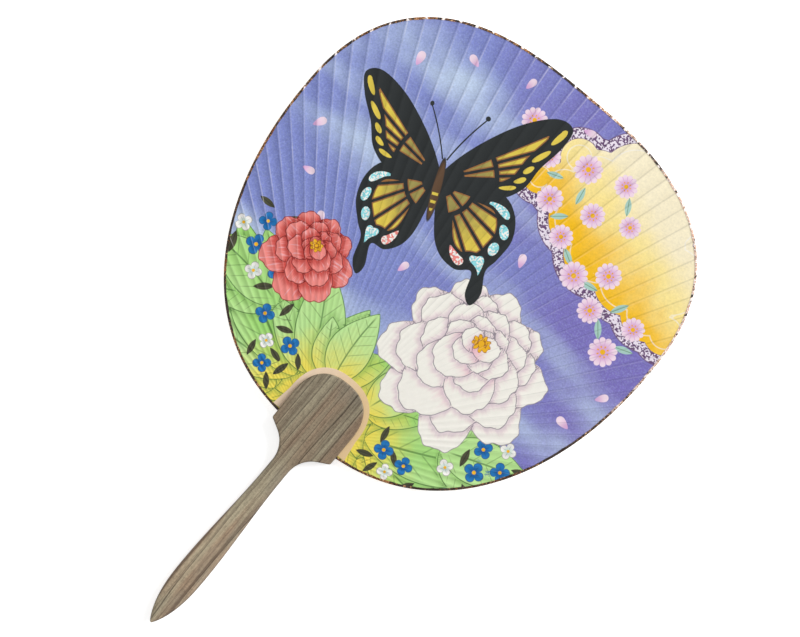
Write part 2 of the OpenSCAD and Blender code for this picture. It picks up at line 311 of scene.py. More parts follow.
def edge_binding():
    """A paper strip folded over the rim: its section carried round the leaf, along the pressed papers."""
    middle_y = (LEAF_TOP - LEAF_DROP) / 2
    half_turn = math.pi - math.atan2(TUCK_X, middle_y - low_rim_y(TUCK_X, 0))
    turn = np.linspace(-half_turn, half_turn, STATIONS)
    rim_r = reach(turn, 0.0, 0.0, middle_y)
    waver = sum(height * np.sin(turn * count + phase) for height, count, phase in CUT_WAVER)
    rings = []
    for inset, side, depth in binding_section():
        ring_r = rim_r - inset - (waver if inset == BINDING_W else 0)
        x, y = ring_r * np.sin(turn), middle_y + ring_r * np.cos(turn)
        r = np.hypot(x, y)
        drop = pressed(np.arctan2(x, y), r, r + inset)
        top = FRONT_Z + PAPER_T + PASTE_T + BINDING_T - FRONT_SAG * drop
        low = BACK_Z - PASTE_T - BINDING_T + BACK_SAG * drop
        z = (top + low) / 2 + side * ((top - low) / 2 - depth * BINDING_T)
        rings.append(np.stack([x, y, LEAF_Z + z], axis=-1))
    points = np.stack(rings)
    index = np.arange(len(rings) * STATIONS).reshape(-1, STATIONS)
    faces = quads(np.concatenate([index, index[:1]])[::-1])
    half = len(rings) // 2
    for station, order in ((0, 1), (-1, -1)):
        ring = index[:, station]
        faces += quads(np.stack([ring[:half], ring[: half - 1 : -1]])[::order])
    piece = new_piece("paper_edge_binding", points.reshape(-1, 3), faces, BINDING_SHARP)
    # Where the painted highlight and painted shade spots lie beside each rib along the rim
    off = rib_offset(points[..., 0], points[..., 1])
    keep_fields(piece, {"rib_lit": bell(off, *RIB_HIGHLIGHT_SPOT), "rib_dark": bell(off, *RIB_SHADE_SPOT)})
    return piece


def bell(value, middle, width):
    """1 at the middle, falling off to both sides as e to the minus squared distance in widths."""
    return np.exp(-(((value - middle) / width) ** 2))


def keep_fields(piece, fields):
    """Keeps values at every point of a piece as attributes, for its finish."""
    for name, values in fields.items():
        data = piece.data.attributes.new(name, "FLOAT", "POINT").data
        data.foreach_set("value", values.astype(np.float32).ravel())


# Painted shapes as fields over the printed paper's points

FAR = 60.0
SHADOW_REACH = 5.0
TINY = 1e-12


def turned(x, y, place, heading):
    """Distances of points along a heading (radians from +Y) and across it, from a place."""
    dx, dy = x - place[0], y - place[1]
    sine, cosine = math.sin(heading), math.cos(heading)
    return dx * sine + dy * cosine, dx * cosine - dy * sine


class Motif:
    """Shapes laid one over another: how far a point is from their edges and where it lies on the top one.

    cover is the signed distance to the edge of them all, line the distance to the nearest edge in
    sight and ink the same with a sign that changes over that edge. over is the distance to a shape
    that lies on top, within its shadow's reach. along and across are the place on the top shape, and
    tone is that shape's own shade.
    """

    def __init__(self, x, y):
        self.x, self.y = x, y
        start = {"cover": FAR, "line": FAR, "ink": -FAR, "over": SHADOW_REACH}
        start.update(along=0, across=0, tone=0)
        self.parts = {part: np.full(x.shape, float(value)) for part, value in start.items()}

    def lay(self, edge, **place):
        """Lays a shape on top, from the signed distance to its edge and a point's place on it and shade."""
        parts = self.parts
        inside = edge < 0
        parts["ink"] = np.where(inside | (edge < parts["line"]), -edge, parts["ink"])
        parts["line"] = np.where(inside, -edge, np.minimum(parts["line"], edge))
        parts["over"] = np.where(inside, SHADOW_REACH, np.minimum(parts["over"], edge))
        chosen = inside | ((edge < parts["cover"]) & (parts["cover"] > 0))
        for part, value in place.items():
            parts[part] = np.where(chosen, value, parts[part])
        parts["cover"] = np.minimum(parts["cover"], edge)

    def fields(self, name, *kept):
        """All parts, or some, by the names under which the paper keeps them."""
        return {f"{name}_{part}": self.parts[part] for part in kept or self.parts}

    def local(self, place, heading):
        """Distances along a heading and across it, from a place."""
        return turned(self.x, self.y, place, heading)


def curve_distance(u, v, points, steps=8):
    """Signed distance to a smooth closed curve through a few points (Catmull-Rom), negative inside."""
    p = np.array(points, float)
    t = np.linspace(0, 1, steps, endpoint=False)[:, None, None]
    before, after, beyond = np.roll(p, 1, 0), np.roll(p, -1, 0), np.roll(p, -2, 0)
    curve = 0.5 * (
        2 * p + (after - before) * t + (2 * before - 5 * p + 4 * after - beyond) * t**2
        + (3 * p - before - 3 * after + beyond) * t**3
    )
    curve = curve.transpose(1, 0, 2).reshape(-1, 2)
    distance = np.full(u.shape, np.inf)
    inside = np.zeros(u.shape, bool)
    for (x0, y0), (x1, y1) in zip(curve, np.roll(curve, -1, 0)):
        dx, dy = x1 - x0, y1 - y0
        share = np.clip(((u - x0) * dx + (v - y0) * dy) / (dx * dx + dy * dy + TINY), 0, 1)
        distance = np.minimum(distance, np.hypot(u - x0 - share * dx, v - y0 - share * dy))
        if y0 != y1:
            inside ^= ((v < y0) != (v < y1)) & (u < x0 + (v - y0) * dx / dy)
    return np.where(inside, -distance, distance)


# Rings of petals from the outermost inwards: number, then distance, length and width in the peony's size
PEONY_RINGS = (
    (9, 0.62, 0.40, 0.30),
    (8, 0.46, 0.38, 0.30),
    (7, 0.32, 0.32, 0.27),
    (6, 0.20, 0.25, 0.22),
    (5, 0.10, 0.17, 0.15),
)
SMALL_PEONY_RINGS = (
    (8, 0.58, 0.44, 0.36), (7, 0.40, 0.36, 0.30), (6, 0.24, 0.28, 0.24), (5, 0.10, 0.18, 0.16),
)
# Middle, size, rings, tone and seed of each peony; middle, size and number of stamens of each heart
PEONIES = (((-62, 78), 25, SMALL_PEONY_RINGS, 1, 5), ((42, 88), 47, PEONY_RINGS, 0, 11))
HEARTS = (((42, 99), 6.4, 9), ((-62, 82.5), 3.6, 7))
# A ring's rise and tone over the last one, and a far petal's loss of size
RING_RISE = 0.045
RING_TONE = 0.02
FAR_PETAL_LOSS = 0.14
# How far chance changes a petal's heading in radians, its size and its tone, and how deep its ruffles are
PETAL_TURN = 0.12
PETAL_GROWTH = 0.08
PETAL_TONE = 0.12
PETAL_RUFFLE = 0.035
STAMEN_L, STAMEN_W = 1.9, 1.15


def lay_petal(motif, centre, heading, distance, length, width, phase, tone):
    """A broad petal: an ellipse whose far rim is ruffled by three sines of the turn round its middle."""
    place = (centre[0] + distance * math.sin(heading), centre[1] + distance * math.cos(heading))
    u, v = motif.local(place, heading)
    turn = np.arctan2(v / width, u / length)
    waves = np.sin(5 * turn + phase) + 0.7 * np.sin(9 * turn + 2.3 * phase) + 0.4 * np.sin(15 * turn - phase)
    rim = 1 + PETAL_RUFFLE * np.clip(np.cos(turn) + 0.25, 0, 1) * waves
    edge = (np.hypot(u / length, v / width) - rim) * (length + width) / 2
    motif.lay(edge, along=u / length, across=v / width, tone=tone)


def paint_peony(motif, centre, size, rings, tone, seed):
    """Rings of petals from the outermost inwards, each turned against the last and set a little higher."""
    draws = np.random.default_rng(seed)
    for ring, (count, distance, length, width) in enumerate(rings):
        middle = (centre[0], centre[1] + RING_RISE * ring * size)
        for k in draws.permutation(count):
            heading = 2 * math.pi * (k + 0.5 * (ring % 2)) / count + draws.uniform(-PETAL_TURN, PETAL_TURN)
            fore = size * (1 - FAR_PETAL_LOSS * math.cos(heading))
            grow = fore * draws.uniform(1 - PETAL_GROWTH, 1 + PETAL_GROWTH)
            phase = draws.uniform(0, 6)
            shade = tone + PETAL_TONE * draws.uniform(-1, 1) + RING_TONE * ring
            lay_petal(motif, middle, heading, distance * fore, length * grow, width * grow, phase, shade)


def paint_hearts(motif):
    """A ring of oval stamens round a disc in the middle of each peony."""
    for (cx, cy), size, count in HEARTS:
        for heading in np.arange(count) * 2 * math.pi / count:
            tip = (cx + size * 0.62 * math.sin(heading), cy + size * 0.5 * math.cos(heading))
            u, v = motif.local(tip, heading)
            motif.lay((np.hypot(u / STAMEN_L, v / STAMEN_W) - 1) * 1.4)
        motif.lay(np.hypot(motif.x - cx, motif.y - cy) - size * 0.3)


# Joint, heading in degrees, length and width of the middle leaflet of each spray of three
LEAF_SPRAYS = (
    ((-15, 3), -88, 62, 26),
    ((15, 3), 88, 62, 26),
    ((-17, 12), -70, 70, 30),
    ((17, 12), 72, 70, 30),
    ((-30, 8), -78, 86, 30),
    ((30, 6), 80, 88, 30),
    ((-26, 20), -58, 92, 34),
    ((26, 18), 62, 90, 32),
    ((-20, 26), -30, 62, 27),
    ((16, 30), 28, 44, 24),
    ((-58, 44), -82, 54, 27),
    ((62, 40), 70, 52, 26),
    ((-8, 30), -4, 46, 24),
)
# The side leaflets' turn from the middle one and share of its size, and a leaflet's bend in its length
SIDE_TURN = 34
SIDE_SHARE = 0.78
LEAFLET_BEND = 0.06


def lay_leaf(motif, joint, heading, length, width, tone):
    """A pointed leaf, bent by a sine, whose half-width follows the sine of its length's 0.8th power."""
    u, v = motif.local(joint, heading)
    share = np.clip(u / length, 0, 1)
    off = v - LEAFLET_BEND * length * np.sin(share * math.pi) * math.sin(tone * 40)
    beside = np.abs(off) - width / 2 * np.sin(math.pi * share**0.8) ** 0.85
    beyond = (np.abs(u / length - 0.5) - 0.5) * length
    edge = np.hypot(np.clip(beside, 0, None), np.clip(beyond, 0, None))
    edge = np.where(edge > 0, edge, beside * 0.9)
    motif.lay(edge, along=u / length, across=off / width * 2, tone=tone)


def paint_leaves(motif):
    """Sprays of three leaflets from one joint, a fan of them on each side of the handle's head."""
    for n, (joint, heading, length, width) in enumerate(LEAF_SPRAYS):
        for side, share in ((-1, SIDE_SHARE), (1, SIDE_SHARE), (0, 1)):
            turn = math.radians(heading + SIDE_TURN * side)
            lay_leaf(motif, joint, turn, length * share, width * share, 0.1 * n + 0.31 * (side + 1))


# Butterfly: its place and turn in degrees, and the curves of its wings in its own frame
BUTTERFLY_PLACE = (-33, 152)
BUTTERFLY_TURN = 24
BUTTERFLY_SIZE = 1.06
FAR_WING_SHARE = 0.86
FOREWING = (
    (1, 6), (13, 22), (32, 39), (50, 48), (60, 45), (57, 34), (49, 21), (43, 8), (30, -1), (12, -1), (2, 0),
)
HINDWING = (
    (1, 3), (16, 5), (34, 3), (43, -6), (45, -19), (40, -31), (36, -38), (37, -50), (33, -57), (29, -52),
    (29, -40), (20, -41), (10, -35), (4, -22),
)
# Where a wing's veins start, half their width, and its outer and inner cells: their lowest and highest
# angle in degrees, their number and how far from the root they start, and the gap between the two
FORE_ROOT, HIND_ROOT = (2, 3), (2, 1)
VEIN_HALF_W = 0.75
FORE_OUTER, FORE_INNER = (3, 38, 5, 29.0), (14, 38, 2, 11.0)
HIND_OUTER, HIND_INNER = (-84, -4, 6, 19.0), (-66, -10, 2, 8.0)
CELL_GAP = 2.5
BODY_HALF_W, BODY_HALF_L, BODY_Y = 2.6, 17.0, -4.0
STRIPE_STEP = 4.2


def place_butterfly(x, y):
    """A point's place in the butterfly's frame, folded over its axis, and its distances from the wings."""
    up, right = turned(x, y, BUTTERFLY_PLACE, -math.radians(BUTTERFLY_TURN))
    u, v = right / BUTTERFLY_SIZE, up / BUTTERFLY_SIZE
    u = np.abs(np.where(u < 0, u / FAR_WING_SHARE, u))
    fore, hind = curve_distance(u, v, FOREWING), curve_distance(u, v, HINDWING)
    return {"wing_u": u, "wing_v": v, "forewing": fore, "hindwing": hind}


# Centres and radii of the lobes of the gold cloud
CLOUD_LOBES = (
    (8, 190, 9), (22, 194, 13), (40, 186, 17), (60, 178, 19), (82, 176, 18), (102, 170, 15), (116, 168, 12),
    (34, 208, 17), (54, 202, 22), (78, 198, 24), (100, 192, 22), (50, 222, 20), (74, 218, 22), (18, 212, 10),
)


def paint_cloud(x, y):
    """Signed distance to the union of the cloud's round lobes."""
    return np.minimum.reduce([np.hypot(x - cx, y - cy) - r for cx, cy, r in CLOUD_LOBES])


# Place, radius and turn in degrees of each small motif, by kind
STAMPS = {
    "aster": (
        (96, 138, 8.4, 10), (76, 151, 7.4, 40), (101, 158, 6.8, 5), (57, 160, 8.2, 22), (38, 172, 7, 0),
        (72, 172, 7.6, 30), (20, 184, 7.8, 12), (44, 192, 7.2, 50), (5, 202, 6.6, 33), (26, 210, 8.4, 8),
        (64, 200, 6.4, 25), (48, 216, 6.8, 15), (-14, 212, 7.4, 20),
    ),
    "blue_floret": (
        (-88, 62, 6, 10), (-77, 69, 5.4, 50), (-91, 76, 5.2, 30), (-70, 58, 5.6, 75), (-60, 36, 5.6, 20),
        (84, 42, 6, 0), (95, 51, 5.6, 35), (80, 55, 5.4, 60), (52, 20, 5.2, 15), (-44, 14, 5.2, 40),
        (-38, 31, 5.6, 70), (38, 20, 5.6, 25),
    ),
    "white_floret": (
        (-80, 50, 5, 20), (-101, 67, 5, 65), (91, 63, 4.8, 10), (70, 34, 4.8, 55),
        (-50, 25, 4.6, 5), (46, 11, 4.6, 30),
    ),
    "loose_petal": (
        (-98, 176, 3.8, 30), (-84, 198, 4.2, 100), (-60, 216, 3.8, 160), (-104, 136, 4, 60),
        (-92, 112, 3.6, 10), (-70, 96, 3.8, 130), (-28, 226, 3.6, 80), (-2, 172, 3.8, 20), (30, 148, 4, 110),
        (112, 118, 3.8, 50), (104, 94, 4.2, 170), (-18, 104, 3.6, 75), (14, 226, 3.6, 15),
    ),
    "dark_leaf": (
        (-70, 47, 6, 40), (-99, 55, 6.4, 110), (-66, 68, 5.6, -20), (-82, 84, 5.6, 60), (-52, 45, 5.4, 80),
        (75, 45, 5.6, 100), (104, 58, 5.6, 20), (88, 30, 6, -30), (60, 12, 5.4, 60), (-36, 8, 5, -50),
        (100, 40, 5.4, -60), (-98, 84, 5.2, 0), (-34, 18, 5.4, 75), (-41, 22, 5, -15), (-29, 27, 4.8, 130),
        (-46, 36, 5.2, 20), (-54, 17, 5, 100), (31, 12, 5.2, 20), (33, 27, 5.2, 100),
        (45, 20, 5, -40), (38, 8, 4.8, 70),
    ),
    "pale_leaf": (
        (86, 146, 5.8, 130), (88, 162, 5.6, 60), (67, 161, 5.6, 10), (48, 166, 5.4, 150), (30, 180, 5.2, 40),
        (32, 196, 5.4, 100), (14, 196, 5, 20), (-5, 212, 5.4, 80), (104, 146, 5.6, 20), (56, 208, 5.2, 120),
    ),
}


def place_stamps(x, y):
    """For each kind of small motif, a point's place on the nearest one, counted in its radii."""
    fields = {}
    for kind, places in STAMPS.items():
        u, v, nearest = np.zeros(x.shape), np.zeros(x.shape), np.full(x.shape, FAR)
        for cx, cy, radius, turn in places:
            up, right = turned(x, y, (cx, cy), -math.radians(turn))
            distance = np.hypot(right, up) / radius
            closer = distance < nearest
            u = np.where(closer, right / radius, u)
            v = np.where(closer, up / radius, v)
            nearest = np.where(closer, distance, nearest)
        fields |= {f"{kind}_u": u, f"{kind}_v": v, f"{kind}_near": nearest}
    return fields


def paint_print(piece):
    """Works out the print's fields at every point of the front paper and keeps them as attributes."""
    mesh = piece.data
    place = np.zeros(len(mesh.vertices) * 3)
    mesh.vertices.foreach_get("co", place)
    x, y, _ = place.reshape(-1, 3).T / MM
    leaves, peonies, hearts = Motif(x, y), Motif(x, y), Motif(x, y)
    paint_leaves(leaves)
    for peony in PEONIES:
        paint_peony(peonies, *peony)
    paint_hearts(hearts)
    factor = np.resize(paper_columns()[1], len(x))
    keep_fields(piece, {
        "cloud": paint_cloud(x, y),
        **leaves.fields("leaf"),
        **peonies.fields("peony"),
        **hearts.fields("heart", "cover", "line", "ink"),
        # Edges of each ridge: the lit one takes a painted highlight, the other a painted shade line
        "ridge_lit": factor == 1,
        "ridge_shade": factor == -1,
        **place_butterfly(x, y),
        **place_stamps(x, y),
    })


# Shader nodes written as formulas


class Wire:
    """A value that runs between shader nodes. Sums, products and the like of wires become Math nodes."""

    def __init__(self, socket):
        self.socket = socket

    def __add__(self, other):
        return calc("ADD", self, other)

    def __sub__(self, other):
        return calc("SUBTRACT", self, other)

    def __rsub__(self, other):
        return calc("SUBTRACT", other, self)

    def __mul__(self, other):
        return calc("MULTIPLY", self, other)

    def __truediv__(self, other):
        return calc("DIVIDE", self, other)

    def __neg__(self):
        return self * -1

    def __abs__(self):
        return calc("ABSOLUTE", self)

    __radd__ = __add__
    __rmul__ = __mul__


def feed(node, key, value):
    """Links a wire to a node's input, or sets that input to a number, a vector or a colour by its name."""
    if isinstance(value, Wire):
        value.socket.id_data.links.new(value.socket, node.inputs[key])
    else:
        node.inputs[key].default_value = hue(value) if isinstance(value, str) else value


def tree_of(values):
    """The node tree in which the first wire among some values lies."""
    return next(value.socket.id_data for value in values if isinstance(value, Wire))


def shader_node(kind, inputs, output=0, **settings):
    """A wire from a new node, whose inputs are given by number or name."""
    node = tree_of(inputs.values()).nodes.new("ShaderNode" + kind)
    for name, value in settings.items():
        setattr(node, name, value)
    for key, value in inputs.items():
        feed(node, key, value)
    return Wire(node.outputs[output])


def calc(operation, *values, clamp=False):
    """One Math node over wires and numbers."""
    return shader_node("Math", dict(enumerate(values)), operation=operation, use_clamp=clamp)


def most(*values):
    """The greatest of some wires and numbers."""
    return functools.reduce(functools.partial(calc, "MAXIMUM"), values)


def least(*values):
    """The least of some wires and numbers."""
    return functools.reduce(functools.partial(calc, "MINIMUM"), values)


def fract(value):
    """What a value is above the whole number below it."""
    return calc("FRACT", value)


def hypot(x, y):
    """Distance of a place from nought."""
    return calc("SQRT", x * x + y * y)


def smooth(value, low, high):
    """0 below low and 1 above high, eased between them; from 1 to 0 where low is the higher."""
    inputs = {"Value": value, "From Min": low, "From Max": high}
    return shader_node("MapRange", inputs, "Result", interpolation_type="SMOOTHSTEP")


def stroke(value, reach, core):
    """1 where a value is within core of nought, eased to 0 at reach."""
    return smooth(abs(value), reach, core)


def blend(share, low, high):
    """Mix of two colours by a share that is a wire."""
    return shader_node("Mix", {0: share, 6: low, 7: high}, 2, data_type="RGBA")


def coated(colour, *coats):
    """A colour with coats laid over it in turn, each given as its share and its own colour."""
    for share, coat in coats:
        colour = blend(share, colour, coat)
    return colour


def shaded(colour, tone):
    """A colour made lighter or darker by a tone around 1."""
    grey = shader_node("CombineColor", dict.fromkeys(range(3), tone))
    return shader_node("Mix", {0: 1.0, 6: colour, 7: grey}, 2, data_type="RGBA", blend_type="MULTIPLY")


def scaled(place, factors):
    """A place stretched by a factor along each axis."""
    return shader_node("VectorMath", {0: place, 1: factors}, operation="MULTIPLY")


def shifted(place, offset):
    """A place moved sideways, to read another part of a pattern."""
    return shader_node("VectorMath", {0: place, 1: (offset, offset * 0.7, 0)}, operation="ADD")


def joined(x, y, z):
    """A place from its three distances."""
    return shader_node("CombineXYZ", {0: x, 1: y, 2: z})


def split(place):
    """The three distances of a place."""
    return [Wire(output) for output in shader_node("SeparateXYZ", {0: place}).socket.node.outputs]


def noise(place, scale, detail=2.0, roughness=0.5, distortion=0.0):
    """Soft noise between 0 and 1. The scale is one number, or one along each axis."""
    if isinstance(scale, tuple):
        place, scale = scaled(place, scale), 1.0
    inputs = {"Vector": place, "Scale": scale, "Detail": detail, "Roughness": roughness}
    return shader_node("TexNoise", {**inputs, "Distortion": distortion}, "Fac")


def fields(place, names):
    """Some of a piece's own fields, read from its mesh, in the tree of a wire."""
    wires = []
    for name in names.split():
        node = tree_of([place]).nodes.new("ShaderNodeAttribute")
        node.attribute_name = name
        wires.append(Wire(node.outputs["Fac"]))
    return wires


def hue(name):
    """Linear colour of an ink or of six hexadecimal digits."""
    code = INK.get(name, name)
    parts = [int(code[i : i + 2], 16) / 255 for i in (0, 2, 4)]
    return tuple(p / 12.92 if p <= 0.04045 else ((p + 0.055) / 1.055) ** 2.4 for p in parts) + (1.0,)


def surface(colour, roughness, height, depth, shine=0.5, metal=0.0):
    """A shader's inputs. The height from 0 to 1 stands for a relief of some depth in millimetres."""
    bump = shader_node("Bump", {"Strength": 1.0, "Distance": depth * MM, "Height": height})
    return {
        "Base Color": colour, "Roughness": roughness, "Metallic": metal, "Specular IOR Level": shine,
        "Normal": bump,
    }


def new_finish(name, work, *values):
    """A material whose shader's inputs a function works out from the place on the object in millimetres."""
    material = bpy.data.materials.new(name)
    material.use_nodes = True
    nodes = material.node_tree.nodes
    place = scaled(Wire(nodes.new("ShaderNodeTexCoord").outputs["Object"]), (1 / MM, 1 / MM, 1 / MM))
    for key, value in work(place, *values).items():
        feed(nodes["Principled BSDF"], key, value)
    return material


def new_group(name, inputs, outputs):
    """An empty shader group, and wires from its inputs. Place is a vector, all other sockets are numbers."""
    group = bpy.data.node_groups.new(name, "ShaderNodeTree")
    for in_out, labels in (("INPUT", inputs), ("OUTPUT", outputs)):
        for label in labels:
            kind = "NodeSocketVector" if label == "Place" else "NodeSocketFloat"
            group.interface.new_socket(label, in_out=in_out, socket_type=kind)
    start = group.nodes.new("NodeGroupInput")
    end = group.nodes.new("NodeGroupOutput")
    return group, [Wire(socket) for socket in start.outputs if socket.name], end


def use_group(group, place, **values):
    """Places a shader group with its own values and returns its outputs by name."""
    node = tree_of([place]).nodes.new("ShaderNodeGroup")
    node.node_tree = group
    feed(node, "Place", place)
    for label, value in values.items():
        feed(node, label.capitalize(), value)
    return {socket.name: Wire(socket) for socket in node.outputs}


def mulberry_fibre():
    """Handmade paper: a fine tooth, soft clouds of pulp and long fibres that stand out a little."""
    group, (place, size), end = new_group("mulberry fibre", ("Place", "Size"), ("Fibre", "Pulp", "Height"))
    local = shader_node("VectorMath", {0: place, "Scale": calc("DIVIDE", 1.0, size)}, operation="SCALE")
    strand = noise(local, 0.55, 2, 0.5, 1.4)
    cross = noise(scaled(local, (0.8, 1.3, 1)), 0.7, 2, 0.5, 1.8)
    fibre = stroke(strand - 0.5, 0.022, 0.0) + stroke(cross - 0.5, 0.018, 0.0)
    pulp = noise(local, 0.35, 3, 0.6)
    feed(end, "Fibre", least(fibre, 1.0))
    feed(end, "Pulp", pulp)
    feed(end, "Height", noise(local, 3.0, 4, 0.65) * 0.6 + fibre * 0.3 + pulp * 0.3)
    return group


def straight_grain():
    """Quarter-sawn wood: growth rings as dark lines along Y at uneven spacings, and fine streaks between."""
    sockets = ("Place", "Spacing", "Waver"), ("Ring", "Band", "Streak")
    group, (place, spacing, waver), end = new_group("straight grain", *sockets)
    x, _, z = split(place)
    slow = noise(place, (0.03, 0.006, 0.03))
    uneven = noise(place, (0.13, 0.002, 0.1), 1)
    level = (x + z * 0.35 + (slow - 0.5) * waver) / spacing + (uneven - 0.5) * 2.4
    part = fract(level)
    strength = noise(joined((level - part) * 3.7, 0.0, 0.0), 1.0, 0)
    patchy = noise(place, (0.5, 0.03, 0.5))
    late = smooth(part, 0.84, 0.97) * smooth(part, 1.0, 0.98)
    feed(end, "Ring", late * smooth(strength * 0.7 + patchy * 0.5, 0.38, 0.66))
    feed(end, "Band", smooth(part, 0.25, 0.95) * smooth(strength, 0.35, 0.65))
    feed(end, "Streak", noise(place, (3.2, 0.055, 3.2), 3, 0.6))
    return group


def flecks():
    """Irregular flecks: cells of a given size, a share of which are marked."""
    group, (place, size, share), end = new_group("flecks", ("Place", "Size", "Share"), ("Mark",))
    inputs = {"Vector": place, "Scale": calc("DIVIDE", 1.0, size)}
    cells = shader_node("TexVoronoi", inputs, "Color", voronoi_dimensions="2D")
    feed(end, "Mark", smooth(split(cells)[0] - share, 0.04, -0.04))
    return group


MULBERRY_FIBRE = mulberry_fibre()
STRAIGHT_GRAIN = straight_grain()
FLECKS = flecks()

INK = {
    "periwinkle": "7f8acb", "violet": "7a6fbb", "mist": "c6d8ee", "gold": "f6bf12", "pale_gold": "fae596",
    "white": "f6f3ee", "trim_dark": "6a4d74", "trim_light": "ece2ef", "leaf": "9fd873", "yellow": "f2df58",
    "leaf_light": "bfe79a", "leaf_shade": "74a84e", "leaf_dark": "4d7a3a", "pale_leaf": "a9cfc4",
    "olive": "4b4b35", "black": "262a2b", "blue": "1d77bd", "blue_dark": "0f4f8f", "petal": "f3dbe9",
    "petal_pink": "dba9d6", "anther": "eda63a", "heart": "f0b51e", "cream": "f6f3ea", "blush": "efbfcb",
    "lilac_grey": "b9aec2", "pencil": "77707c", "red": "c2332a", "coral": "f08a83", "dark_red": "7c1614",
    "mustard": "e0c84f", "olive_gold": "9c9150", "brown": "9c6a3c", "turquoise": "8fdce4",
}

# Height, half width, tilt and strength of each band of mist, and the offset of its sway
MIST_BANDS = (
    (206, 26, 0.12, 0.85, 0), (126, 19, -0.16, 0.75, 40), (70, 20, 0.1, 0.7, 90), (168, 12, 0.05, 0.45, 150),
)
MIST_SWAY = 40
# The cloud's trim and the contour inside it, and half widths of drawn lines
TRIM_W = 6.5
CONTOUR_INSET = 3.2
LEAF_LINE, PEONY_LINE, HEART_LINE = 0.36, 0.32, 0.26


def paint_sky(place, x, y):
    """Dusk: periwinkle that deepens to violet, with soft level bands of mist."""
    drift = noise(place, 1 / 60)
    col = blend(smooth(x * 0.45 + y * 0.18 + drift * 90, 45, 125), "periwinkle", "violet")
    for level, half, tilt, strength, offset in MIST_BANDS:
        sway = noise(shifted(scaled(place, (1 / 75, 1 / 40, 0)), offset), 1.0)
        off = abs(y - x * tilt - level - (sway - 0.5) * MIST_SWAY)
        col = blend(smooth(off, half, 0.0) * smooth(sway, 0.3, 0.62) * strength, col, "mist")
    bloom = noise(shifted(place, 60), 1.1, 3, 0.6)
    col = blend(smooth(bloom, 0.45, 0.7) * 0.16, col, "mist")
    return shaded(col, noise(place, 1.05, 2, 0.6) * 0.62 + 0.69)


def paint_gold(col, place, x, y):
    """The gold cloud, which pales towards its top, with a contour inside and a speckled trim outside."""
    cloud, = fields(place, "cloud")
    rise = smooth(y + x * 0.3 + noise(place, 1 / 22, 3) * 30, 196, 262)
    gold = coated(
        "gold",
        (smooth(rise, 0.0, 0.55), "pale_gold"),
        (smooth(rise, 0.5, 1.0) * 0.55, "white"),
        (stroke(cloud + CONTOUR_INSET, 0.5, 0.15) * 0.55, "white"),
    )
    marks = use_group(FLECKS, place, size=0.75, share=0.45)["Mark"]
    return coated(
        col,
        (smooth(cloud, TRIM_W + 0.1, TRIM_W - 0.2), blend(marks, "trim_light", "trim_dark")),
        *((stroke(cloud - edge, 0.4, 0.2) * 0.8, "trim_dark") for edge in (TRIM_W, 0.4)),
        (smooth(cloud, 0.45, 0.25), shaded(gold, noise(place, 0.85, 2, 0.6) * 0.3 + 0.85)),
    )


def ink_line(place, motif, half_width):
    """A drawn line where the signed distance runs through nought, left out where it only changes sides."""
    ink, line = fields(place, f"{motif}_ink {motif}_line")
    return stroke(ink, half_width, half_width * 0.5) * smooth(line, 1.3, 0.9)


def paint_green(col, place, x, y):
    """The leaves: two greens, veins that branch off the midrib, dark outlines, yellow near the handle."""
    cover, line, over = fields(place, "leaf_cover leaf_line leaf_over")
    along, across, tone = fields(place, "leaf_along leaf_across leaf_tone")
    side = abs(across)
    vein = stroke(fract(along * 7 - side * 1.5) - 0.5, 0.07, 0.02) * smooth(side, 0.95, 0.6)
    vein = most(vein * 0.6, smooth(side, 0.05, 0.02))
    vein = vein * smooth(line, 0.8, 1.6) * smooth(along, 0.97, 0.85) * smooth(along, 0.04, 0.2)
    green = coated(
        "leaf",
        (smooth(fract(tone * 3.3), 0.0, 1.0), "leaf_light"),
        (smooth(side + noise(place, 1 / 9, 3) * 0.8, 0.5, 1.3) * 0.6, "leaf_light"),
        (smooth(hypot(x, y) + noise(place, 1 / 14, 3) * 26, 76, 44), "yellow"),
        (smooth(over, 4.5, 0.3) * 0.42, "leaf_shade"),
        (vein * 0.75, "leaf_dark"),
        (ink_line(place, "leaf", LEAF_LINE) * 0.85, "leaf_dark"),
    )
    return blend(smooth(cover, 0.3, 0.1), col, green)


def stamp(place, kind):
    """A small motif's own place across and along, its radius and turn there, and 1 near one of its kind."""
    u, v, near = fields(place, f"{kind}_u {kind}_v {kind}_near")
    return u, v, hypot(u, v), calc("ARCTAN2", v, u), smooth(near, 1.15, 1.1)


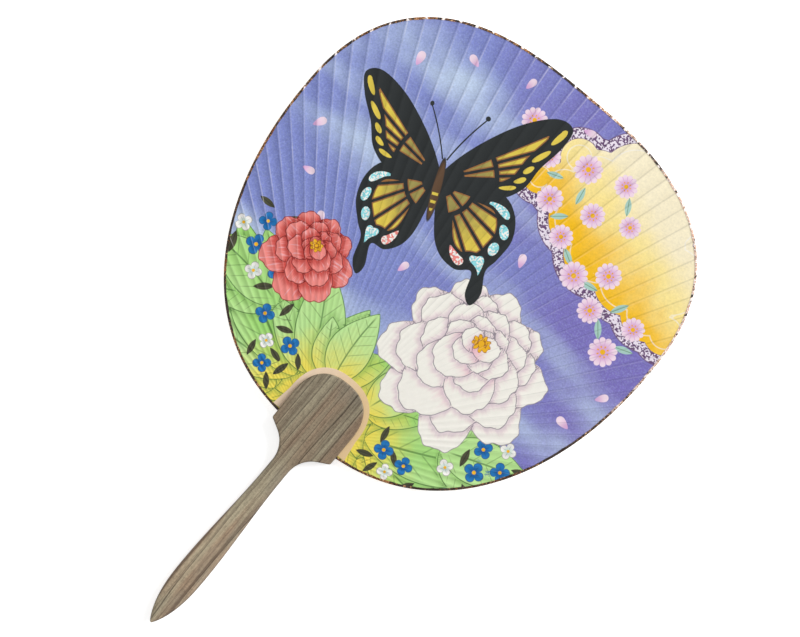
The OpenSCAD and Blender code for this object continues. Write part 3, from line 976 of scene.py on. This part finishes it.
def paint_stamps(col, place):
    """Slender leaves, loose petals, four-petalled florets and asters, drawn by turn and radius."""
    for kind, light, dark in (("dark_leaf", "olive", "black"), ("pale_leaf", "pale_leaf", "leaf_dark")):
        u, v, _, _, near = stamp(place, kind)
        leaf = blend(stroke(v, 0.06, 0.03) * 0.6, light, dark)
        col = blend(smooth(abs(v) - (1.0 - u * u) * 0.34, 0.02, -0.02) * near, col, leaf)

    u, v, _, _, near = stamp(place, "loose_petal")
    width = calc("SQRT", most(1.0 - u * u, 0.0)) * (0.52 + u * 0.22)
    loose = blend(smooth(u, -0.9, 0.6), "petal_pink", "petal")
    col = blend(smooth(abs(v) - width, 0.02, -0.02) * near, col, loose)

    for kind, light, dark in (("blue_floret", "blue", "blue_dark"), ("white_floret", "white", "pale_leaf")):
        _, _, rho, turn, near = stamp(place, kind)
        rim = calc("POWER", abs(calc("COSINE", turn * 2)), 0.5) * 0.55 + 0.42
        floret = coated(
            light,
            (smooth(rho, 0.75, 0.2) * 0.6, dark),
            (stroke(calc("SINE", turn * 2), 0.16, 0.05) * smooth(rho, 0.85, 0.3) * 0.6, "black"),
            (smooth(rho, 0.2, 0.16), "heart"),
            (stroke(rho - rim, 0.06, 0.03) * 0.6, "olive"),
        )
        col = blend(smooth(rho - rim, 0.05, 0.01) * near, col, floret)

    _, _, rho, turn, near = stamp(place, "aster")
    lobes = abs(calc("COSINE", turn * 6))
    dots = smooth(abs(calc("COSINE", turn * 4)), 0.75, 0.9) * stroke(rho - 0.34, 0.09, 0.05)
    rim = calc("POWER", lobes, 0.6) * 0.2 + 0.78
    aster = coated(
        "petal",
        (smooth(rho, 0.85, 0.25), "petal_pink"),
        (smooth(lobes, 0.3, 0.12) * smooth(rho, 0.2, 0.4), "petal_pink"),
        (dots, "anther"),
        (smooth(rho, 0.2, 0.16), "heart"),
    )
    return blend(smooth(rho - rim, 0.02, -0.02) * near, col, aster)


def paint_peonies(col, place):
    """White and red petals, pale towards their rims and shaded under their neighbours, and gold hearts."""
    cover, over, along = fields(place, "peony_cover peony_over peony_along")
    across, tone, heart = fields(place, "peony_across peony_tone heart_cover")
    streak = noise(joined(across * 9, along * 1.3, tone * 20), 1.0)
    soft = noise(place, 1 / 6, 3)
    depth = smooth(along + (streak - 0.5) * 0.7 + (soft - 0.5) * 0.3, -0.9, 0.45)
    shade = smooth(over + (streak - 0.5) * 4.0, 4.6, 0.4)
    drawn = ink_line(place, "peony", PEONY_LINE)
    white = coated(
        "blush",
        (depth, "cream"),
        (shade * 0.38, "blush"),
        (shade * shade * 0.34, "lilac_grey"),
        (drawn * 0.8, "pencil"),
    )
    red = coated(
        "red",
        (depth, "coral"),
        (smooth(streak, 0.56, 0.68) * smooth(along, -0.2, 0.6) * 0.4, "petal"),
        (shade * 0.75, "red"),
        (drawn * 0.9, "dark_red"),
    )
    col = blend(smooth(cover, 0.25, 0.05), col, blend(smooth(tone, 0.49, 0.51), white, red))
    gold = blend(ink_line(place, "heart", HEART_LINE) * 0.7, "heart", "dark_red")
    return blend(smooth(heart, 0.15, -0.05), col, gold)


def wing_cells(u, v, margin, root, cells):
    """Signed distance to the cells between a wing's veins, which fan out evenly from its root.

    Further, a point's place counted in cells, and its distance from its cell's middle line in cell widths.
    """
    low, high, count, start = cells
    du, dv = u - root[0], v - root[1]
    r = hypot(du, dv)
    slot = math.radians(high - low) / count
    place = (calc("ARCTAN2", dv, du) - math.radians(low)) / slot
    off_middle = abs(fract(place) - 0.5)
    side = (off_middle - 0.5) * slot * r + VEIN_HALF_W
    beyond = most(-place, place - count) * slot * r
    return most(side, margin, start - r, beyond), place, off_middle


def border_spots(margin, inset, depth, place, off_middle, first, last):
    """Signed distance to one oval spot at the outer end of each cell, two thirds of the cell wide."""
    spot = (hypot((margin + inset) / depth, off_middle / 0.34) - 1.0) * depth
    return most(spot, first - place, place - last)


def paint_wings(col, place):
    """The swallowtail: black wings, mustard cells edged in brown, speckled turquoise and coral spots."""
    u, v, fore, hind = fields(place, "wing_u wing_v forewing hindwing")
    body = (hypot(u / BODY_HALF_W, (v - BODY_Y) / BODY_HALF_L) - 1.0) * BODY_HALF_W
    rise = most(v - 12.0, 0.0)
    feeler = abs(u - 1.2 - rise * 0.42 - rise * rise * 0.006) - 0.42
    feeler = most(feeler, abs(v - 25.0) - 13.0)
    knob = hypot(u - 16.2, v - 38.5) - 1.3
    wing = least(fore, hind, body, feeler, knob)
    dust = noise(place, 2.4, 3, 0.7)

    outer, fore_place, fore_off = wing_cells(u, v, fore + 8.5, FORE_ROOT, FORE_OUTER)
    inner = wing_cells(u, v, fore + 2.2, FORE_ROOT, FORE_INNER)[0]
    fore_r = hypot(u - FORE_ROOT[0], v - FORE_ROOT[1])
    fore_cells = least(outer, most(inner, fore_r - (FORE_OUTER[-1] - CELL_GAP)))
    outer, hind_place, hind_off = wing_cells(u, v, hind + 9.5, HIND_ROOT, HIND_OUTER)
    inner = wing_cells(u, v, hind + 2.2, HIND_ROOT, HIND_INNER)[0]
    hind_r = hypot(u - HIND_ROOT[0], v - HIND_ROOT[1])
    covered = 1.2 - fore
    hind_cells = most(least(outer, most(inner, hind_r - (HIND_OUTER[-1] - CELL_GAP))), covered)
    cell = most(least(fore_cells, hind_cells), 0.8 - body)
    fill = blend(smooth(fore_r + noise(place, 1 / 5) * 14, 46, 26), "mustard", "olive_gold")
    fill = blend(smooth(cell, -0.8, -0.5), shaded(fill, dust * 0.3 + 0.86), "brown")

    fore_spots = most(border_spots(fore, 4.2, 1.9, fore_place, fore_off, 0, 5), 30.0 - u)
    stripes = abs(fract(v / STRIPE_STEP) - 0.5) * STRIPE_STEP - 0.75
    stripes = most(stripes, body + 0.8, v + 3.0)
    hind_spots = border_spots(hind, 5.2, 2.7, hind_place, hind_off, 1, 6)
    hind_spots = most(hind_spots, 27.0 - hind_r, -42.0 - v, covered)
    coral = smooth(u, 24.2, 23.8) * smooth(v, -23.8, -24.2)
    marks = use_group(FLECKS, place, size=0.8, share=0.4)["Mark"]
    return coated(
        col,
        (smooth(wing, 0.15, -0.1), shaded("black", dust * 0.7 + 0.75)),
        (smooth(body, 0.1, -0.6) * 0.3, "brown"),
        (smooth(cell, 0.1, -0.1), fill),
        (smooth(least(fore_spots, stripes), 0.1, -0.1), "mustard"),
        (smooth(hind_spots, 0.1, -0.1), blend(marks, blend(coral, "turquoise", "coral"), "white")),
    )


def mulberry_paper(place, col, fibre_size, depth=0.03):
    """The hand of mulberry paper: fibres that pale the colour a little, soft tooth, matt surface."""
    paper = use_group(MULBERRY_FIBRE, place, size=fibre_size)
    col = shaded(col, paper["Pulp"] * 0.1 + paper["Fibre"] * 0.03 + 0.95)
    return surface(col, paper["Pulp"] * 0.2 + 0.66, paper["Height"], depth, shine=0.3)


def printed_paper(place):
    """Front cover paper: the print, with a pale line along one edge of each rib, partly rubbed paper and
    partly painted highlight, and a painted shade line along its other edge.
    """
    x, y, _ = split(place)
    col = paint_gold(paint_sky(place, x, y), place, x, y)
    col = paint_stamps(paint_green(col, place, x, y), place)
    col = paint_peonies(col, place)
    # Pale line on each ridge's lit edge: rubbed paper and a painted highlight; dark line on its other edge:
    # painted shade
    lit, shade = fields(place, "ridge_lit ridge_shade")
    outer = smooth(hypot(x, y), 60, 130)
    rub_and_highlight = smooth(noise(place, 1 / 25, 3, 0.6), 0.4, 0.68) * 0.22 + 0.07
    rub_and_highlight = rub_and_highlight * (smooth(x, 80, -30) * 0.65 + 0.35) * outer
    col = paint_wings(blend(smooth(lit, 0.4, 0.95) * rub_and_highlight, col, "white"), place)
    return mulberry_paper(place, shaded(col, 1.0 - smooth(shade, 0.3, 0.95) * outer * 0.17), 1.2)


def plain_paper(place, col, warm, fibre_size):
    """Undyed mulberry paper in two close tones."""
    return mulberry_paper(place, blend(noise(place, 1 / 18, 3), col, warm), fibre_size)


def patch_paper(place):
    """Tan base patch: dyed paper, pinker on its left and more golden on its right; its left is also painted
    lighter, a painted fill that lifts the head's cast shadow.
    """
    # Pinker on the left from the dye, and lighter there as painted light against the head's shadow
    side = smooth(split(place)[0] + noise(place, 1 / 9, 3) * 16, -12, 26)
    return mulberry_paper(place, blend(side, "f4dabd", "e8c99a"), 0.9, 0.04)


def binding_foil(place):
    """Edge strip: copper foil on dark paper, rubbed through in patches, paled by painted reflection towards
    the low light, with a painted highlight and shade spot by each crown rib.
    """
    x, y, _ = split(place)
    # Painted reflection: the foil is paler, shows more copper and is less metallic towards the side that
    # faces the low light
    lit_side_sheen = smooth(x * 0.77 + y * 0.64, 140, 190)
    patches = noise(place, 0.7, 4, 0.75) + (noise(place, 1 / 30) - 0.5) * 0.7
    worn = smooth(patches + lit_side_sheen * 0.14, 0.5, 0.62)
    marks = use_group(FLECKS, place, size=0.5, share=0.35)["Mark"]
    copper = blend(marks, blend(lit_side_sheen, "a5683f", "dcb39c"), blend(lit_side_sheen, "e3b886", "fff1ea"))
    spotted = smooth(noise(place, 0.4), 0.38, 0.56) * smooth(y, 110, 160)
    # Painted shade (dark) and painted highlight (lit) spots beside each rib's end along the crown
    dark, lit = (smooth(spot * spotted, 0.3, 0.6) for spot in fields(place, "rib_dark rib_lit"))
    col = coated("35241b", (worn, copper), (dark, "241c19"), (lit, "fff4ee"))
    metal = worn * (0.85 - lit_side_sheen * 0.45) * (1.0 - lit) * (1.0 - dark)
    return surface(col, 0.45 - worn * 0.15, noise(place, 2.4, 3), 0.16, metal=metal)


def rounded_edge(y, z):
    """How far a point of the handle lies down its rounded edge: 0 on the flat of the face, 1 low on the side.

    The flat lies half the handle's thickness above the leaf. From the head to the neck and the grip the
    thickness changes evenly, and towards the point it drops with 1 - the square root of 1 - s^2.
    """
    neck = smooth(y, HEAD_Y, NECK_Y)
    grip = smooth(y, NECK_Y, POINT_Y)
    share = calc("MULTIPLY", POINT_Y - y, 1 / POINT_L, clamp=True)
    point = 1.0 - calc("SQRT", 1.0 - share * share)
    thinner = neck * (HEAD_T - NECK_T) + grip * (NECK_T - GRIP_T) + point * (GRIP_T - POINT_T)
    return smooth(LEAF_Z + HEAD_T / 2 - thinner / 2 - z, 0.12, 1.3)


def cedar(place):
    """Smoked cedar: fine streaks and cross fibre, thin dark rings with soft bands, darker from the grip to
    the head, and painted shade down the rounded edges.
    """
    _, y, z = split(place)
    rings = use_group(STRAIGHT_GRAIN, place, spacing=4.6, waver=5.0)
    lines = use_group(STRAIGHT_GRAIN, shifted(place, 31), spacing=1.9, waver=3.0)
    warm = noise(place, (0.1, 0.012, 0.1), 3)
    grey = noise(place, (0.05, 0.02, 0.05))
    weave = noise(place, (1.3, 1.3, 1.3), 4, 0.8)
    cross = noise(place, (0.5, 0.9, 0.5), 3, 0.7)
    broad = noise(place, (0.2, 0.004, 0.1), 3, 0.6)
    thread = noise(place, (1.1, 0.16, 1.1), 4, 0.75)
    streaks = (rings["Streak"] - 0.5) * 0.8 + (thread - 0.5) * 1.1
    col = coated("bcb094", (smooth(warm, 0.36, 0.62), "ad947a"), (smooth(grey, 0.5, 0.7) * 0.5, "a39e8c"))
    col = coated(
        shaded(col, streaks + (weave - 0.5) * 1.4 + (cross - 0.5) * 0.6 + 1.0),
        (rings["Band"] * 0.34 + smooth(broad, 0.5, 0.62) * 0.38, "5e493b"),
        (lines["Ring"] * 0.5, "4d3c31"),
        (rings["Ring"] * smooth(thread, 0.3, 0.5) * 0.72, "35281f"),
    )
    # Darker from the grip up to the head, and painted shade down the rounded edges
    col = blend(rounded_edge(y, z) * 0.5, shaded(col, 1.0 - smooth(y, -80.0, 12.0) * 0.32), "4b3f3a")
    height = rings["Streak"] * 0.5 - rings["Ring"] * 0.5 + thread * 0.3
    return surface(col, rings["Streak"] * 0.15 + 0.58, height, 0.06, shine=0.3)


def split_bamboo(place):
    """Split bamboo: straw yellow with close streaks along the rib."""
    grain = use_group(STRAIGHT_GRAIN, place, spacing=0.7, waver=1.0)
    col = coated("d9bf86", (grain["Streak"], "c4a566"), (grain["Ring"] * 0.4, "a98a50"))
    return surface(col, grain["Streak"] * 0.2 + 0.4, grain["Streak"], 0.03)


def pale_floor(_):
    """A matt floor that glows enough to look white."""
    glow = {"Emission Color": WHITE, "Emission Strength": FLOOR_GLOW}
    return {"Base Color": FLOOR_GREY, "Roughness": 0.9, **glow}


def add_camera():
    """Straight above the fan, turned so that its axis runs to the upper right of the picture."""
    data = bpy.data.cameras.new("camera")
    data.sensor_width = SENSOR_W
    data.lens = SENSOR_W * CAMERA_HEIGHT / VIEW_W
    camera = add_object("camera", data)
    camera.location = (CAMERA_X * MM, CAMERA_Y * MM, CAMERA_HEIGHT * MM)
    camera.rotation_euler = (0, 0, math.radians(CAMERA_TURN))
    bpy.context.scene.camera = camera


def add_light(name, bearing, elevation, distance, size, power):
    """A round soft light aimed where the camera looks; its bearing is an angle from the picture's right."""
    data = bpy.data.lights.new(name, "AREA")
    data.shape = "DISK"
    data.size = size
    data.energy = power
    lamp = add_object(name, data)
    turn, rise = math.radians(bearing + CAMERA_TURN), math.radians(elevation)
    lamp.location = (
        CAMERA_X * MM + distance * math.cos(rise) * math.cos(turn),
        CAMERA_Y * MM + distance * math.cos(rise) * math.sin(turn),
        distance * math.sin(rise),
    )
    lamp.rotation_euler = (math.pi / 2 - rise, 0, turn + math.pi / 2)


def add_studio():
    """A pale floor, an even sky, a soft overhead light and a broad low light from the picture's right."""
    world = bpy.data.worlds.new("studio")
    bpy.context.scene.world = world
    world.use_nodes = True
    feed(world.node_tree.nodes["Background"], "Color", WHITE)
    feed(world.node_tree.nodes["Background"], "Strength", SKY_STRENGTH)
    bpy.context.scene.view_settings.view_transform = "Standard"
    add_light("overhead", bearing=90, elevation=80, distance=3.2, size=2.0, power=13)
    add_light("low key", bearing=22, elevation=29, distance=3.0, size=2.2, power=100)
    low, high = -FLOOR_HALF, FLOOR_HALF
    corners = [(low, low, 0), (high, low, 0), (high, high, 0), (low, high, 0)]
    floor = new_piece("floor", corners, [(0, 1, 2, 3)], PAPER_SHARP)
    floor.location = (0, 0, -FLOOR_GAP * MM)
    floor.data.materials.append(new_finish("pale floor", pale_floor))


def dress(piece, slot, *nodes):
    """Gives a new piece its finish, puts it under the root body and hides the nodes that it stands for."""
    piece.data.materials.append(FINISHES[slot])
    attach(piece, "root")
    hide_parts(*nodes)


add_camera()
add_studio()
FINISHES = {
    "handle_wood": new_finish("smoked cedar", cedar),
    "bamboo": new_finish("split bamboo", split_bamboo),
    "printed_paper": new_finish("printed mulberry paper", printed_paper),
    "back_paper": new_finish("plain back paper", plain_paper, "f4efe2", "efe6d2", 1.4),
    "lining_paper": new_finish("lining paper", plain_paper, "efe4c8", "e6d7b4", 1.1),
    "binding_paper": new_finish("copper brown binding", binding_foil),
    "patch_paper": new_finish("tan patch paper", patch_paper),
}
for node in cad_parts.values():
    for slot in node.material_slots:
        slot.material = FINISHES[slot.material.name.split(".")[0]]

front = ribbed_paper("printed_front_paper", FRONT_Z, PAPER_T, FRONT_SAG, PRINT_ROWS, UNDER_STEP)
paint_print(front)
dress(front, "printed_paper", "front_paper")
back = ribbed_paper("plain_back_paper", BACK_Z, PAPER_T, -BACK_SAG, PLAIN_ROWS, 1)
dress(back, "back_paper", "back_paper")
lining = ribbed_paper("hidden_lining_paper", LINING_Z, LINING_T, -BACK_SAG, PLAIN_ROWS, 1)
dress(lining, "lining_paper", "lining_paper")
dress(edge_binding(), "binding_paper", "edge_binding")
